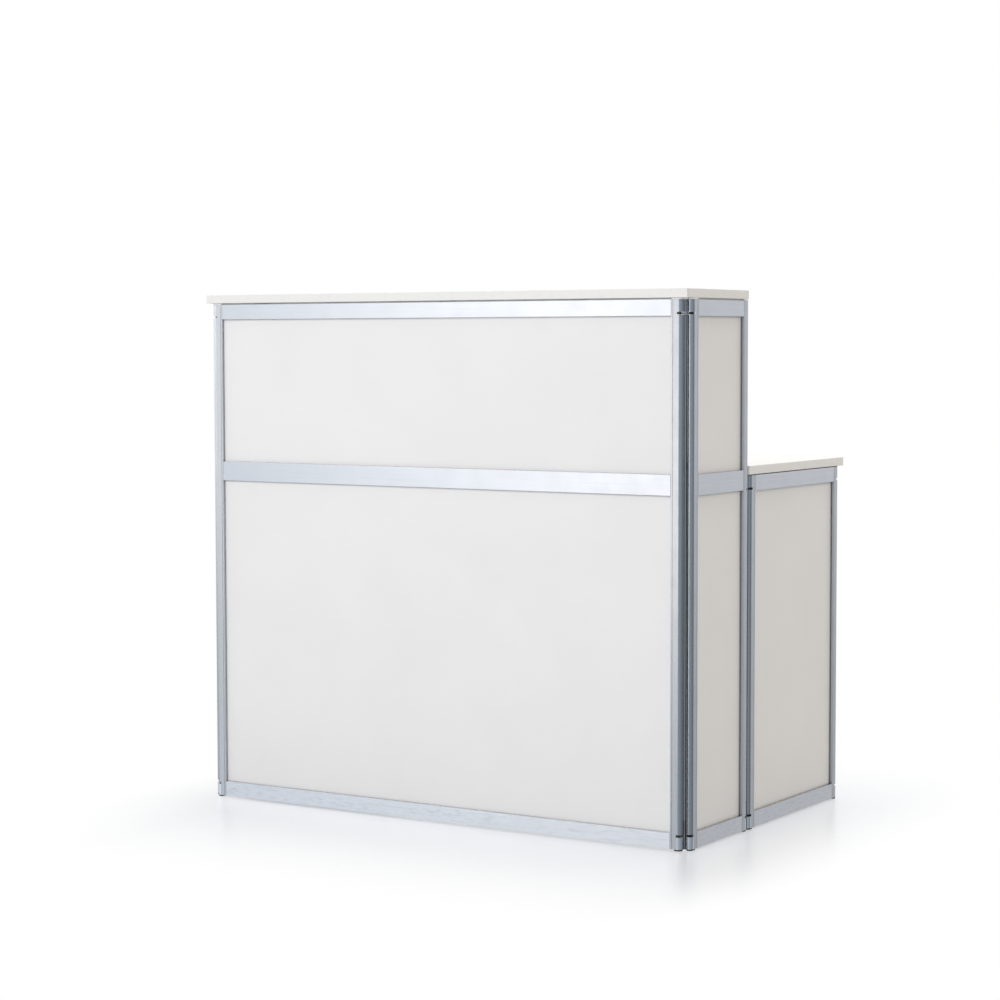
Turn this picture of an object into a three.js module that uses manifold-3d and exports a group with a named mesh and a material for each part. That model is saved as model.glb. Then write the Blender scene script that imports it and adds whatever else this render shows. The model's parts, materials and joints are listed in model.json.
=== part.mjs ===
// A folding information desk. Five framed panels stand on edge as a U: one wide front frame, then a tall frame
// and a low frame on each side. A link joins each pair of neighbours and turns on a rod in both. A narrow
// counter board lies over the tall frames and a deeper desk board over the low ones.
// Millimetres, +Z up. The origin is on the floor in the middle of the area that the desk covers. Visitors
// stand on the -Y side and the person at the desk sits on the +Y side.

import * as THREE from 'three';
import { mergeVertices } from 'three/addons/utils/BufferGeometryUtils.js';
import Module from 'manifold-3d';

const wasm = await Module();
wasm.setup();

// Frames: spans run from hinge axis to hinge axis, heights from the foot end of a stile to its head end
const frontSpan = 1144;
const tallSideSpan = 229;
const lowSideSpan = 413;
const tallHeight = 1080;
const lowHeight = 726;
const frameThickness = 15;

// Stile profile: a round nose about the hinge axis, a flat web and a groove for the panel
const stileFlat = 16.5;
const lipThickness = 4.3;
const grooveDepth = 8;
const scribeInset = 3.7;
const scribeWidth = 0.9;
const scribeDepth = 0.6;
const chamberLengthShare = 0.6;
const chamberWidthShare = 0.75;

// Rails: the mid rail stands level with the desk board, its top a little above the low frames' heads
const endRailHeight = 32;
const midRailHeight = 41;
const midRailRise = 12;
const railChannelShare = 0.55;

// Panels
const panelThickness = 3;
const panelEndClearance = 1.5;

// Hinges: a link has two plates with an eye round each rod, and a bar that fills the gap between the stiles
const hingePitch = 22;
const linkInset = 27;
const linkThickness = 3;
const linkWidth = 6;
const slotFaceClearance = 0.4;
const slotEndClearance = 0.6;
const rodDiameter = 3;
const rodClearance = 0.3;
const rodHeadroom = 5;

// Feet and caps
const footHeight = 2.5;
const stemLength = 12;
const spigotLength = 10;
const capInset = 0.3;

// Boards
const boardThickness = 18;
const boardCornerRadius = 4;
const edgingThickness = 2;
const edgingSeamInset = 62;
const edgingSeamWidth = 0.4;
const counterLift = 3;
const deskLift = 1.5;
const counterFrontOverhang = 5;
const deskRearOverhang = 27;
const deskFrontClearance = 1.5;

// Fit between pieces that touch, and how far one solid runs into another that it cuts or joins
const seatGap = 0.3;
const overrun = 1;

// Facets of each arc
const arcFacets = 12;

// Places that follow from the sizes
const noseRadius = frameThickness / 2;
const grooveWidth = frameThickness - 2 * lipThickness;
const boreRadius = rodDiameter / 2 + rodClearance;
const sealReach = (grooveWidth + lipThickness) / 2;
const slotEnd = linkWidth / 2 + slotEndClearance;
const midRailTop = lowHeight + midRailRise;
const quarterTurn = Math.PI / 2;
const cornerStep = hingePitch * Math.SQRT1_2;
const tallRear = cornerStep + tallSideSpan;
const lowFront = tallRear + hingePitch;
const lowRear = lowFront + lowSideSpan;
const deskFrontEdge = tallRear + noseRadius + deskFrontClearance;
const deskRearEdge = lowRear + noseRadius + deskRearOverhang;
const counterFrontEdge = -noseRadius - counterFrontOverhang;
const counterRearEdge = tallRear + noseRadius;
const overallWidth = frontSpan + 2 * (cornerStep + noseRadius);
const frontLine = -(counterFrontEdge + deskRearEdge) / 2;
const sideLine = frontSpan / 2 + cornerStep;

// Finishes
const anodised = new THREE.MeshStandardMaterial({ color: 0xc4c7cc, roughness: 0.38, metalness: 0.9 });
const whiteLaminate = new THREE.MeshStandardMaterial({ color: 0xe6e6e4, roughness: 0.45, metalness: 0 });
const paleEdging = new THREE.MeshStandardMaterial({ color: 0xe4e2dc, roughness: 0.45, metalness: 0 });
const worktopLaminate = new THREE.MeshStandardMaterial({ color: 0xecebe8, roughness: 0.4, metalness: 0 });
const blackSteel = new THREE.MeshStandardMaterial({ color: 0x121214, roughness: 0.4, metalness: 0.8 });
const blackRubber = new THREE.MeshStandardMaterial({ color: 0x18181a, roughness: 0.8, metalness: 0 });
const paleNylon = new THREE.MeshStandardMaterial({ color: 0xe9e9e6, roughness: 0.5, metalness: 0 });

// Turns a closed geometry into a solid that can be cut and joined
function toSolid(geometry) {
  const bare = geometry.clone();
  bare.deleteAttribute('normal');
  bare.deleteAttribute('uv');
  const welded = mergeVertices(bare);
  return new wasm.Manifold(new wasm.Mesh({
    numProp: 3,
    vertProperties: new Float32Array(welded.attributes.position.array),
    triVerts: new Uint32Array(welded.index.array),
  }));
}

// Turns a solid back into a geometry
function toGeometry(solid) {
  const mesh = solid.getMesh();
  const geometry = new THREE.BufferGeometry();
  geometry.setAttribute('position', new THREE.BufferAttribute(mesh.vertProperties, 3));
  geometry.setIndex(new THREE.BufferAttribute(mesh.triVerts, 1));
  geometry.computeVertexNormals();
  return geometry;
}

// A box between two corners
function boxBetween(low, high) {
  const [sizeX, sizeY, sizeZ] = high.map((value, axis) => value - low[axis]);
  const box = new THREE.BoxGeometry(sizeX, sizeY, sizeZ);
  return box.translate(low[0] + sizeX / 2, low[1] + sizeY / 2, low[2] + sizeZ / 2);
}

// An upright round bar on the Z axis
function roundBar(radius, low, high) {
  const bar = new THREE.CylinderGeometry(radius, radius, high - low, arcFacets);
  return bar.rotateX(quarterTurn).translate(0, 0, (low + high) / 2);
}

// A flat outline raised along +Z
function raise(outline, height) {
  const settings = { depth: height, bevelEnabled: false, curveSegments: arcFacets / 2 };
  return new THREE.ExtrudeGeometry(outline, settings);
}

// A round hole
function roundHole(centreX, radius) {
  const path = new THREE.Path();
  path.absarc(centreX, 0, radius, 0, 2 * Math.PI, true);
  return path;
}

// The chamber between the link slot and the panel groove, as its two ends and its half width
function stileChamber() {
  const room = stileFlat - grooveDepth - slotEnd;
  const length = room * chamberLengthShare;
  const start = slotEnd + (room - length) / 2;
  return { start, end: start + length, half: frameThickness * chamberWidthShare / 2 };
}

// The stile's plain outline, drawn in by an inset: the nose at -X, the inner edge at +X
function stileOutline(inset) {
  const half = noseRadius - inset;
  const outline = new THREE.Shape();
  outline.absarc(0, 0, half, quarterTurn, 3 * quarterTurn, false);
  outline.lineTo(stileFlat - inset, -half);
  outline.lineTo(stileFlat - inset, half);
  outline.closePath();
  return outline;
}

// The stile's section: a bore for the rod, a chamber, the panel groove and a scribed line on both faces
function stileSection() {
  const half = noseRadius;
  const slot = grooveWidth / 2;
  const scribe = stileFlat - scribeInset;
  const section = new THREE.Shape();
  section.absarc(0, 0, half, quarterTurn, 3 * quarterTurn, false);
  section.lineTo(scribe - scribeWidth / 2, -half);
  section.lineTo(scribe, scribeDepth - half);
  section.lineTo(scribe + scribeWidth / 2, -half);
  section.lineTo(stileFlat, -half);
  section.lineTo(stileFlat, -slot);
  section.lineTo(stileFlat - grooveDepth, -slot);
  section.lineTo(stileFlat - grooveDepth, slot);
  section.lineTo(stileFlat, slot);
  section.lineTo(stileFlat, half);
  section.lineTo(scribe + scribeWidth / 2, half);
  section.lineTo(scribe, half - scribeDepth);
  section.lineTo(scribe - scribeWidth / 2, half);
  section.closePath();
  const chamber = stileChamber();
  const hollow = new THREE.Path();
  hollow.moveTo(chamber.start, -chamber.half);
  hollow.lineTo(chamber.start, chamber.half);
  hollow.lineTo(chamber.end, chamber.half);
  hollow.lineTo(chamber.end, -chamber.half);
  hollow.closePath();
  section.holes.push(roundHole(0, boreRadius), hollow);
  return section;
}

// A stile with a slot through its nose at each link's height
function stileGeometry(height, linkLevels) {
  const halfSlot = linkThickness / 2 + slotFaceClearance;
  let solid = toSolid(raise(stileSection(), height));
  for (const level of linkLevels) {
    solid = solid.subtract(toSolid(boxBetween(
      [-noseRadius - overrun, -noseRadius - overrun, level - halfSlot],
      [slotEnd, noseRadius + overrun, level + halfSlot],
    )));
  }
  return toGeometry(solid);
}

// A rail along +X from the origin: a channel or panel groove on each edge, and a tenon on the web at each end
function railGeometry(length, height, grooveBelow, grooveAbove) {
  const half = frameThickness / 2;
  const slot = grooveWidth / 2;
  const channel = (height - grooveDepth) * railChannelShare;
  const webLow = grooveBelow ? grooveDepth : channel;
  const webHigh = height - (grooveAbove ? grooveDepth : channel);
  const section = new THREE.Shape();
  section.moveTo(-half, 0);
  section.lineTo(-slot, 0);
  section.lineTo(-slot, webLow);
  section.lineTo(slot, webLow);
  section.lineTo(slot, 0);
  section.lineTo(half, 0);
  section.lineTo(half, height);
  section.lineTo(slot, height);
  section.lineTo(slot, webHigh);
  section.lineTo(-slot, webHigh);
  section.lineTo(-slot, height);
  section.lineTo(-half, height);
  section.closePath();
  const alongX = new THREE.Matrix4().makeBasis(
    new THREE.Vector3(0, 1, 0), new THREE.Vector3(0, 0, 1), new THREE.Vector3(1, 0, 0),
  );
  const bar = toSolid(raise(section, length).applyMatrix4(alongX));
  const thick = slot - seatGap;
  const left = toSolid(boxBetween([-grooveDepth, -thick, webLow], [overrun, thick, webHigh]));
  const right = left.translate([length + grooveDepth - overrun, 0, 0]);
  return toGeometry(bar.add(left).add(right));
}

// A link from the origin to +X: a plate at each level, and the bar halfway between the two rods
function linkGeometry(height, levels) {
  const outline = new THREE.Shape();
  outline.absarc(0, 0, linkWidth / 2, quarterTurn, 3 * quarterTurn, false);
  outline.absarc(hingePitch, 0, linkWidth / 2, -quarterTurn, quarterTurn, false);
  outline.closePath();
  outline.holes.push(roundHole(0, boreRadius), roundHole(hingePitch, boreRadius));
  const plate = raise(outline, linkThickness).translate(0, 0, -linkThickness / 2);
  let solid = toSolid(roundBar(hingePitch / 2 - noseRadius - seatGap, 0, height).translate(hingePitch / 2, 0, 0));
  for (const level of levels) solid = solid.add(toSolid(plate).translate([0, 0, level]));
  return toGeometry(solid);
}

// A foot of the stile's outline whose bar runs up the stile's bore to a given height
function footGeometry(barTop) {
  const plate = toSolid(raise(stileOutline(capInset), footHeight - seatGap).translate(0, 0, -footHeight));
  const bar = toSolid(roundBar(rodDiameter / 2, -footHeight / 2, barTop));
  return toGeometry(plate.add(bar));
}

// A head cap of the stile's outline, with a spigot that plugs into the stile's chamber
function capGeometry(thickness) {
  const chamber = stileChamber();
  const plate = toSolid(raise(stileOutline(capInset), thickness));
  const spigot = toSolid(boxBetween(
    [chamber.start + seatGap, seatGap - chamber.half, -spigotLength],
    [chamber.end - seatGap, chamber.half - seatGap, thickness / 2],
  ));
  return toGeometry(plate.add(spigot)).translate(0, 0, seatGap);
}

// A flat strip that lies along a frame's head from nose to nose
function stripGeometry(span, thickness) {
  const radius = noseRadius - capInset;
  const outline = new THREE.Shape();
  outline.absarc(0, 0, radius, quarterTurn, 3 * quarterTurn, false);
  outline.absarc(span, 0, radius, -quarterTurn, quarterTurn, false);
  outline.closePath();
  return raise(outline, thickness).translate(0, 0, seatGap);
}

// A mesh with a name
function piece(name, geometry, material) {
  const mesh = new THREE.Mesh(geometry, material);
  mesh.name = name;
  return mesh;
}

// The rails of a frame from the floor up, each with its low edge and the edges that hold a panel
function railPlan(height, hasMidRail) {
  const midLow = midRailTop - midRailHeight;
  const topLow = height - endRailHeight;
  const bottom = { label: 'bottom_rail', low: 0, height: endRailHeight, below: false, above: true };
  const mid = { label: 'mid_rail', low: midLow, height: midRailHeight, below: true, above: true };
  const top = { label: 'top_rail', low: topLow, height: endRailHeight, below: true, above: false };
  return hasMidRail ? [bottom, mid, top] : [bottom, top];
}

// A framed panel standing along +X from its first hinge axis, its outer face towards -Y. Each end of it has a
// label, the levels of its link slots and whether a rod stands in it.
function framedPanel({ name, ends, span, height, tall }) {
  const frame = new THREE.Group();
  const rails = railPlan(height, tall);
  const railLength = span - 2 * (stileFlat + seatGap);
  for (const rail of rails) {
    const geometry = railGeometry(railLength, rail.height, rail.below, rail.above);
    const mesh = piece(`${name}_${rail.label}`, geometry, anodised);
    mesh.position.set(stileFlat + seatGap, 0, rail.low);
    frame.add(mesh);
  }

  const entry = grooveDepth - panelEndClearance;
  const backFace = grooveWidth / 2 - seatGap;
  const panelLabels = tall ? ['lower_panel', 'upper_panel'] : ['panel'];
  panelLabels.forEach((label, index) => {
    const below = rails[index];
    const above = rails[index + 1];
    frame.add(piece(`${name}_${label}`, boxBetween(
      [stileFlat - entry, backFace - panelThickness, below.low + below.height - entry],
      [span - stileFlat + entry, backFace, above.low + entry],
    ), whiteLaminate));
  });

  ends.forEach(({ label, linkLevels, rod }, index) => {
    const end = new THREE.Group();
    const foot = rod
      ? piece(`${name}_${label}_hinge_rod`, footGeometry(height - rodHeadroom), blackSteel)
      : piece(`${name}_${label}_foot`, footGeometry(stemLength), blackRubber);
    end.add(piece(`${name}_${label}_stile`, stileGeometry(height, linkLevels), anodised), foot);
    if (tall) {
      const cap = piece(`${name}_${label}_cap`, capGeometry(counterLift - 2 * seatGap), paleNylon);
      cap.position.z = height;
      end.add(cap);
    }
    end.position.x = index * span;
    end.rotation.z = index * Math.PI;
    frame.add(end);
  });

  const strip = tall
    ? piece(`${name}_seal_strip`, boxBetween(
      [stileFlat + seatGap, -sealReach, seatGap],
      [span - stileFlat - seatGap, sealReach, counterLift - seatGap],
    ), blackRubber)
    : piece(`${name}_seat_strip`, stripGeometry(span, deskLift - 2 * seatGap), blackRubber);
  strip.position.z = height;
  frame.add(strip);
  frame.position.z = footHeight;
  return frame;
}

// The link of one hinge, turned to the line between its two rods
function hingeLink(name, height, levels, x, y, turn) {
  const link = piece(name, linkGeometry(height, levels), anodised);
  link.position.set(x, y, footHeight);
  link.rotation.z = turn;
  return link;
}

// A closed rectangle with corners rounded by a radius
function roundedRectangle(halfWidth, low, high, radius, Kind) {
  const path = new Kind();
  path.absarc(halfWidth - radius, high - radius, radius, 0, quarterTurn, false);
  path.absarc(radius - halfWidth, high - radius, radius, quarterTurn, 2 * quarterTurn, false);
  path.absarc(radius - halfWidth, low + radius, radius, 2 * quarterTurn, 3 * quarterTurn, false);
  path.absarc(halfWidth - radius, low + radius, radius, 3 * quarterTurn, 4 * quarterTurn, false);
  path.closePath();
  return path;
}

// A board across both sides, its underside at the given height, with an edging strip round its core. The
// strip's ends meet at a seam on the right-hand edge.
function board(name, frontEdge, rearEdge, underside) {
  const group = new THREE.Group();
  const outline = (inset, Kind) => roundedRectangle(
    overallWidth / 2 - inset, frontEdge + inset, rearEdge - inset, boardCornerRadius - inset, Kind,
  );
  const ring = outline(0, THREE.Shape);
  ring.holes.push(outline(edgingThickness, THREE.Path));
  const seam = rearEdge - edgingSeamInset;
  const strip = toSolid(raise(ring, boardThickness)).subtract(toSolid(boxBetween(
    [overallWidth / 2 - edgingThickness - overrun, seam - edgingSeamWidth / 2, -overrun],
    [overallWidth / 2 + overrun, seam + edgingSeamWidth / 2, boardThickness + overrun],
  )));
  group.add(
    piece(`${name}_top`, raise(outline(edgingThickness + seatGap, THREE.Shape), boardThickness), worktopLaminate),
    piece(`${name}_edging`, toGeometry(strip), paleEdging),
  );
  group.position.set(0, frontLine, underside);
  return group;
}

const desk = new THREE.Group();
const tallLinkLevels = [linkInset, tallHeight - linkInset];
const lowLinkLevels = [linkInset, lowHeight - linkInset];

const front = framedPanel({
  name: 'front',
  ends: [
    { label: 'left', linkLevels: tallLinkLevels, rod: true },
    { label: 'right', linkLevels: tallLinkLevels, rod: true },
  ],
  span: frontSpan,
  height: tallHeight,
  tall: true,
});
front.position.x = -frontSpan / 2;
front.position.y = frontLine;
desk.add(front);

// A right-hand frame runs back from its front axis and a left-hand one forward from its rear axis, so that the
// outer face of both looks outwards
for (const side of ['left', 'right']) {
  const onRight = side === 'right';
  const sign = onRight ? 1 : -1;
  const tallEnds = [
    { label: 'front', linkLevels: tallLinkLevels, rod: true },
    { label: 'rear', linkLevels: lowLinkLevels, rod: true },
  ];
  const lowEnds = [
    { label: 'front', linkLevels: lowLinkLevels, rod: true },
    { label: 'rear', linkLevels: lowLinkLevels, rod: false },
  ];
  const tall = framedPanel({
    name: `${side}_tall`,
    ends: onRight ? tallEnds : tallEnds.reverse(),
    span: tallSideSpan,
    height: tallHeight,
    tall: true,
  });
  const low = framedPanel({
    name: `${side}_low`,
    ends: onRight ? lowEnds : lowEnds.reverse(),
    span: lowSideSpan,
    height: lowHeight,
    tall: false,
  });
  tall.position.y = frontLine + (onRight ? cornerStep : tallRear);
  low.position.y = frontLine + (onRight ? lowFront : lowRear);
  for (const frame of [tall, low]) {
    frame.position.x = sign * sideLine;
    frame.rotation.z = sign * quarterTurn;
    desk.add(frame);
  }

  const cornerX = sign * frontSpan / 2;
  const cornerTurn = quarterTurn - sign * quarterTurn / 2;
  const middleY = frontLine + tallRear;
  desk.add(
    hingeLink(`${side}_corner_link`, tallHeight, tallLinkLevels, cornerX, frontLine, cornerTurn),
    hingeLink(`${side}_middle_link`, lowHeight, lowLinkLevels, sign * sideLine, middleY, quarterTurn),
  );
}

desk.add(board('counter', counterFrontEdge, counterRearEdge, footHeight + tallHeight + counterLift));
desk.add(board('desk', deskFrontEdge, deskRearEdge, footHeight + lowHeight + deskLift));

export default desk;
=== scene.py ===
"""The folding information desk as it looks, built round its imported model. Metres, +Z up."""

from __future__ import annotations

import json
import logging
import math
from dataclasses import dataclass, field
from enum import Enum

import bmesh
import bpy
from mathutils import Matrix, Vector


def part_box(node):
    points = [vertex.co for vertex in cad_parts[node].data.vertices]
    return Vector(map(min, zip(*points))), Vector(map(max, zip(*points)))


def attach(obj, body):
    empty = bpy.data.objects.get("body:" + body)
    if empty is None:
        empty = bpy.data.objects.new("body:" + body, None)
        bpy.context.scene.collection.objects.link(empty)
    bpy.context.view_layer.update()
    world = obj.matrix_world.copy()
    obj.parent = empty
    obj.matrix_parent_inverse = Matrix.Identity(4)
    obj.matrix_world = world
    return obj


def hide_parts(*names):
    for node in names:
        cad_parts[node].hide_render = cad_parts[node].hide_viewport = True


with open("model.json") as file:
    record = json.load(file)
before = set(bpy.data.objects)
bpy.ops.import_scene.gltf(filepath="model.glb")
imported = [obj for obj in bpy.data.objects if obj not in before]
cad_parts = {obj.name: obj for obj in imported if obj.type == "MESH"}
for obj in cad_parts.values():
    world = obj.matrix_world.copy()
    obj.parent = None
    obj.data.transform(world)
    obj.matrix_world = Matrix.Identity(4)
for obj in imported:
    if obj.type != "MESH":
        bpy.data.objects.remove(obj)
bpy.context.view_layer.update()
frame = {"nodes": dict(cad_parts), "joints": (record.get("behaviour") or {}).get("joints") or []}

MM = 0.001
QUARTER = math.pi / 2
SHARP_TURN = math.radians(34)
LOG = logging.getLogger("information_desk")
Socket = bpy.types.NodeSocket
Mesh, Material = bpy.types.Mesh, bpy.types.Material
Pair = tuple[float, float]
Triple = tuple[float, float, float]
Colour = tuple[float, float, float, float]
# Nearly all of a noise's values lie between these two.
NOISE = (0.3, 0.7)
# From these on lie only its peaks, in patches.
PEAKS = (0.5, 0.75)


# Shared helpers


def linear(code: str) -> Colour:
    """Turns a colour as a screen shows it into the linear values that shaders take.

    Args:
        code: six hex digits, sRGB.

    Returns:
        Linear red, green and blue, and 1 for alpha.
    """
    shares = [int(code[i:i + 2], 16) / 255 for i in (0, 2, 4)]
    red, green, blue = [s / 12.92 if s <= 0.04045 else ((s + 0.055) / 1.055) ** 2.4 for s in shares]
    return red, green, blue, 1.0


def joint_place(name: str) -> Pair:
    """Gives the floor place of a hinge's axis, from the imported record."""
    found = next(j for j in frame["joints"] if j["name"] == name)
    return found["pos_m"][0], found["pos_m"][1]


def new_object(name: str, mesh: Mesh) -> bpy.types.Object:
    """Puts a mesh in the scene as an object at the origin."""
    made = bpy.data.objects.new(name, mesh)
    bpy.context.scene.collection.objects.link(made)
    return made


def worked_mesh(piece: bpy.types.Object) -> Mesh:
    """Gives a plain mesh of what a piece's modifiers make, and takes the modifiers off."""
    graph = bpy.context.evaluated_depsgraph_get()
    made = bpy.data.meshes.new_from_object(piece.evaluated_get(graph))
    piece.modifiers.clear()
    return made


def smooth(piece: bpy.types.Object) -> None:
    """Shades a piece smooth between its sharp edges, with broad faces kept flat."""
    piece.data.shade_smooth()
    piece.data.set_sharp_from_angle(angle=SHARP_TURN)
    weighting = piece.modifiers.new("Flat faces", "WEIGHTED_NORMAL")
    weighting.keep_sharp = True
    piece.data = worked_mesh(piece)


class Wiring:
    """Wires one node tree. Apart from add, each method adds a node and gives its output socket."""

    def __init__(self, tree: bpy.types.NodeTree) -> None:
        """Keeps the tree."""
        self.tree = tree

    def add(self, kind: str, inputs: dict | None = None, **settings: object) -> bpy.types.Node:
        """Adds one node.

        Args:
            kind: the node's type name.
            inputs: for an input's name or number, a value, or an output socket to link to it.
            settings: the node's own attributes.

        Returns:
            The new node.
        """
        node = self.tree.nodes.new(kind)
        for name, value in settings.items():
            setattr(node, name, value)
        for key, value in (inputs or {}).items():
            if isinstance(value, Socket):
                self.tree.links.new(value, node.inputs[key])
            else:
                node.inputs[key].default_value = value
        return node

    def math(self, operation: str, *values: float | Socket) -> Socket:
        """Works on numbers."""
        return self.add("ShaderNodeMath", dict(enumerate(values)), operation=operation).outputs[0]

    def vector(self, operation: str, *values: tuple | Socket) -> Socket:
        """Works on vectors and gives a vector."""
        return self.add("ShaderNodeVectorMath", dict(enumerate(values)), operation=operation).outputs[0]

    def measure(self, operation: str, *values: tuple | Socket) -> Socket:
        """Works on vectors and gives a number."""
        node = self.add("ShaderNodeVectorMath", dict(enumerate(values)), operation=operation)
        return node.outputs["Value"]

    def scaled(self, colour: tuple | Socket, share: Socket) -> Socket:
        """Multiplies a colour or vector by a number."""
        return self.add("ShaderNodeVectorMath", {0: colour, "Scale": share}, operation="SCALE").outputs[0]

    def xyz(self, x: float | Socket, y: float | Socket, z: float | Socket) -> Socket:
        """Puts a vector together."""
        return self.add("ShaderNodeCombineXYZ", {"X": x, "Y": y, "Z": z}).outputs[0]

    def remap(self, value: Socket, given: tuple, wanted: tuple = (0.0, 1.0), **settings: object) -> Socket:
        """Carries a number from one range over to another, and holds it there.

        Args:
            value: the number.
            given: the two ends of its own range.
            wanted: what it becomes at those ends, as numbers or sockets.
            settings: the node's own attributes.

        Returns:
            The number in the other range.
        """
        return self.add("ShaderNodeMapRange", {
            "Value": value, "From Min": given[0], "From Max": given[1],
            "To Min": wanted[0], "To Max": wanted[1],
        }, **settings).outputs[0]

    def noise(self, place: Socket, size: float, detail: float, roughness: float) -> Socket:
        """Draws soft noise with features of about a given size."""
        return self.add("ShaderNodeTexNoise", {
            "Vector": place, "Scale": 1 / size, "Detail": detail, "Roughness": roughness,
        }).outputs["Fac"]

    def drawn_noise(
        self, place: Socket, grain: Grain, width: float, length: float, detail: float, roughness: float,
    ) -> Socket:
        """Draws noise with features stretched along the grain."""
        scale = [1 / width] * 3
        scale[grain.value] = 1 / length
        stretched = self.add("ShaderNodeMapping", {"Vector": place, "Scale": scale})
        return self.noise(stretched.outputs[0], 1.0, detail, roughness)

    def ramp(self, share: Socket, stops: list[tuple[float, Colour]]) -> Socket:
        """Gives the colour at a place from 0 to 1 between stops, each a place and a linear colour."""
        node = self.add("ShaderNodeValToRGB", {"Fac": share})
        elements = node.color_ramp.elements
        while len(elements) > 1:
            elements.remove(elements[-1])
        for index, (place, colour) in enumerate(stops):
            element = elements[0] if index == 0 else elements.new(place)
            element.position = place
            element.color = colour
        return node.outputs["Color"]

    def mixed(self, share: Socket, first: tuple | Socket, second: tuple | Socket) -> Socket:
        """Mixes two colours."""
        inputs = {"Factor": share, "A": first, "B": second}
        return self.add("ShaderNodeMix", inputs, data_type="RGBA").outputs[2]

    def mixed_shader(self, share: Socket, first: Socket, second: Socket) -> Socket:
        """Mixes two shaders."""
        return self.add("ShaderNodeMixShader", {0: share, 1: first, 2: second}).outputs[0]

    def shader(self, kind: str, **inputs: object) -> Socket:
        """Adds a shader or background."""
        return self.add(f"ShaderNode{kind}", inputs).outputs[0]


class Surface(Wiring):
    """The wiring of a new material that reads Object coordinates."""

    BUMP_DISTANCE = 0.05 * MM

    def __init__(self, name: str) -> None:
        """Makes the material with an empty tree."""
        self.made = bpy.data.materials.new(name)
        self.made.use_nodes = True
        super().__init__(self.made.node_tree)
        self.tree.nodes.clear()
        self.place = self.add("ShaderNodeTexCoord").outputs["Object"]

    def height(self) -> Socket:
        """Gives the height over the floor."""
        return self.add("ShaderNodeSeparateXYZ", {"Vector": self.place}).outputs["Z"]

    def level(self) -> Socket:
        """Gives the place on the floor, with its height taken away."""
        return self.vector("MULTIPLY", self.place, (1.0, 1.0, 0.0))

    def bump(self, height: Socket, strength: float) -> Socket:
        """Gives a normal for a slightly uneven face."""
        return self.add("ShaderNodeBump", {
            "Height": height, "Strength": strength, "Distance": self.BUMP_DISTANCE,
        }).outputs[0]

    def finish(self, shader: Socket) -> Material:
        """Puts the shader out and gives the material."""
        self.add("ShaderNodeOutputMaterial", {"Surface": shader})
        return self.made

    def principled(self, inputs: dict) -> Material:
        """Ends the material in a Principled shader with the given inputs."""
        return self.finish(self.add("ShaderNodeBsdfPrincipled", inputs).outputs[0])


# Shapes


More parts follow.
